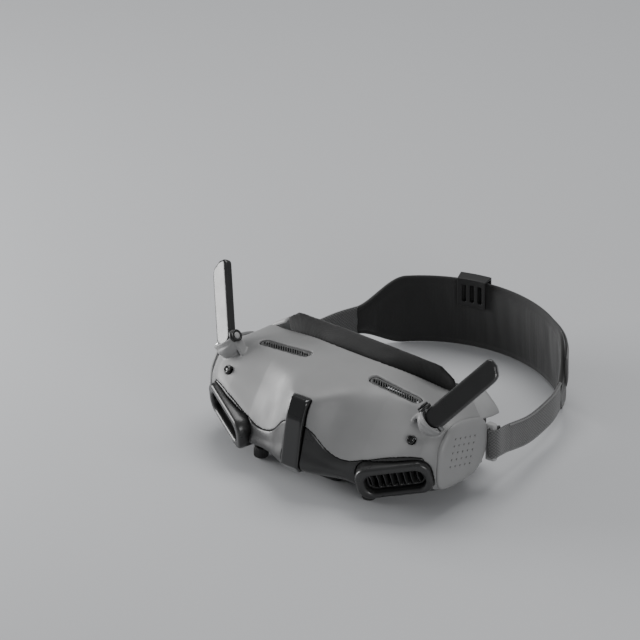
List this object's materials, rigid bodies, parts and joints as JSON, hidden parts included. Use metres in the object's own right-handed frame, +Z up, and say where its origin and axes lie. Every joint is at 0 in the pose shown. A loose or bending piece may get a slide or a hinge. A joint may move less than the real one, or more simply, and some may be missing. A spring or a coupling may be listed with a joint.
{
  "type": "fpv goggles",
  "caption": "Head-worn video goggles with folding antennas, sliding eyepieces with focus knobs, a foam face mask and an elastic head strap.",
  "frame": {"origin": "middle of the box round the whole object, on the surface that it rests on", "axes": "+X to the wearer's left across the face, +Y from the front vents towards the back of the strap, +Z up"},
  "size_m": [0.2, 0.2063, 0.0919],
  "materials": {
    "shell": "fine matte moulded plastic, mid grey",
    "lower_shell": "satin charcoal plastic with bright worn edges",
    "dark_plastic": "matte black plastic",
    "gloss_black": "polished black cover",
    "antenna_black": "satin black plastic",
    "light_shell": "light grey matte plastic",
    "mesh_metal": "dark perforated strip",
    "foam": "soft black foam with fabric cover",
    "pad_fabric": "smooth black fabric over padding",
    "woven_strap": "woven elastic webbing, dark grey",
    "steel": "plain steel",
    "aluminium": "brushed aluminium",
    "lens_glass": "coated optical glass",
    "board": "green circuit board"
  },
  "bodies": {
    "housing": {"upper_housing": "shell", "lower_housing": "lower_shell", "side_panel_right": "shell", "side_panel_left": "shell", "centre_bar": "gloss_black", "vent_bezel_right": "lower_shell", "vent_bezel_left": "lower_shell", "vent_grille_right": "dark_plastic", "vent_grille_left": "dark_plastic", "top_mesh_right": "mesh_metal", "top_mesh_left": "mesh_metal", "sensor_window_right": "gloss_black", "sensor_window_left": "gloss_black", "hinge_pin_right": "steel", "hinge_pin_left": "steel", "hinge_cap_right": "dark_plastic", "hinge_cap_left": "dark_plastic", "face_frame": "dark_plastic", "face_mask": "foam", "forehead_pad": "pad_fabric", "side_wing_right": "light_shell", "side_wing_left": "light_shell", "strap_bracket_right": "light_shell", "strap_bracket_left": "light_shell", "side_strap_right": "woven_strap", "side_strap_left": "woven_strap", "rear_pad": "pad_fabric", "strap_tail": "woven_strap", "guide_rod_front": "steel", "guide_rod_rear": "steel", "main_board": "board", "heat_sink": "aluminium", "fan_housing": "dark_plastic", "proximity_sensor": "gloss_black", "power_inlet": "steel", "card_slot": "steel", "audio_jack": "dark_plastic", "housing_screw_right_1": "steel", "housing_screw_left_1": "steel", "housing_screw_right_2": "steel", "housing_screw_left_2": "steel"},
    "antenna_right": {"antenna_right": "antenna_black"},
    "antenna_left": {"antenna_left": "antenna_black"},
    "eye_right": {"eye_carriage_right": "dark_plastic", "display_module_right": "dark_plastic"},
    "eye_left": {"eye_carriage_left": "dark_plastic", "display_module_left": "dark_plastic"},
    "barrel_right": {"lens_barrel_right": "dark_plastic", "eyepiece_lens_right": "lens_glass"},
    "barrel_left": {"lens_barrel_left": "dark_plastic", "eyepiece_lens_left": "lens_glass"},
    "knob_right": {"dioptre_knob_right": "dark_plastic"},
    "knob_left": {"dioptre_knob_left": "dark_plastic"},
    "fan": {"fan_rotor": "dark_plastic"},
    "button": {"link_button": "dark_plastic"},
    "adjuster": {"strap_adjuster": "dark_plastic"}
  },
  "joints": [
    {"name": "antenna_hinge_right", "type": "hinge", "parent": "housing", "child": "antenna_right", "pos_m": [0.0735, -0.06555, 0.0575], "axis": [0.787, 0, -0.617], "range_deg": [-54, 50]},
    {"name": "eye_slide_right", "type": "slide", "parent": "housing", "child": "eye_right", "axis": [1, 0, 0], "range_m": [-0.004, 0.004]},
    {"name": "dioptre_turn_right", "type": "hinge", "parent": "eye_right", "child": "knob_right", "pos_m": [0.0385, -0.07855, 0.009], "axis": [0, 0, 1], "range_deg": [-120, 120]},
    {"name": "focus_right", "type": "slide", "parent": "eye_right", "child": "barrel_right", "axis": [0, 1, 0], "range_m": [-0.003, 0.003]},
    {"name": "antenna_hinge_left", "type": "hinge", "parent": "housing", "child": "antenna_left", "pos_m": [-0.0735, -0.06555, 0.0575], "axis": [0.787, 0, 0.617], "range_deg": [-54, 50]},
    {"name": "eye_slide_left", "type": "slide", "parent": "housing", "child": "eye_left", "axis": [-1, 0, 0], "range_m": [-0.004, 0.004]},
    {"name": "dioptre_turn_left", "type": "hinge", "parent": "eye_left", "child": "knob_left", "pos_m": [-0.0385, -0.07855, 0.009], "axis": [0, 0, 1], "range_deg": [-120, 120]},
    {"name": "focus_left", "type": "slide", "parent": "eye_left", "child": "barrel_left", "axis": [0, 1, 0], "range_m": [-0.003, 0.003]},
    {"name": "fan_spin", "type": "hinge", "parent": "housing", "child": "fan", "pos_m": [0, -0.07955, 0.033], "axis": [0, 1, 0], "continuous": true},
    {"name": "link_press", "type": "slide", "parent": "housing", "child": "button", "axis": [1, 0, 0], "range_m": [0, 0.0008], "stiffness_N_per_m": 400, "springref_m": -0.001},
    {"name": "adjuster_glide", "type": "hinge", "parent": "housing", "child": "adjuster", "pos_m": [0, 0.01945, 0.04], "axis": [0, 0, 1], "range_deg": [-6, 6]}
  ],
  "couplings": [
    {"joint": "dioptre_turn_right", "follows": "focus_right", "rad_per_m": 698.13},
    {"joint": "dioptre_turn_left", "follows": "focus_left", "rad_per_m": 698.13}
  ]
}
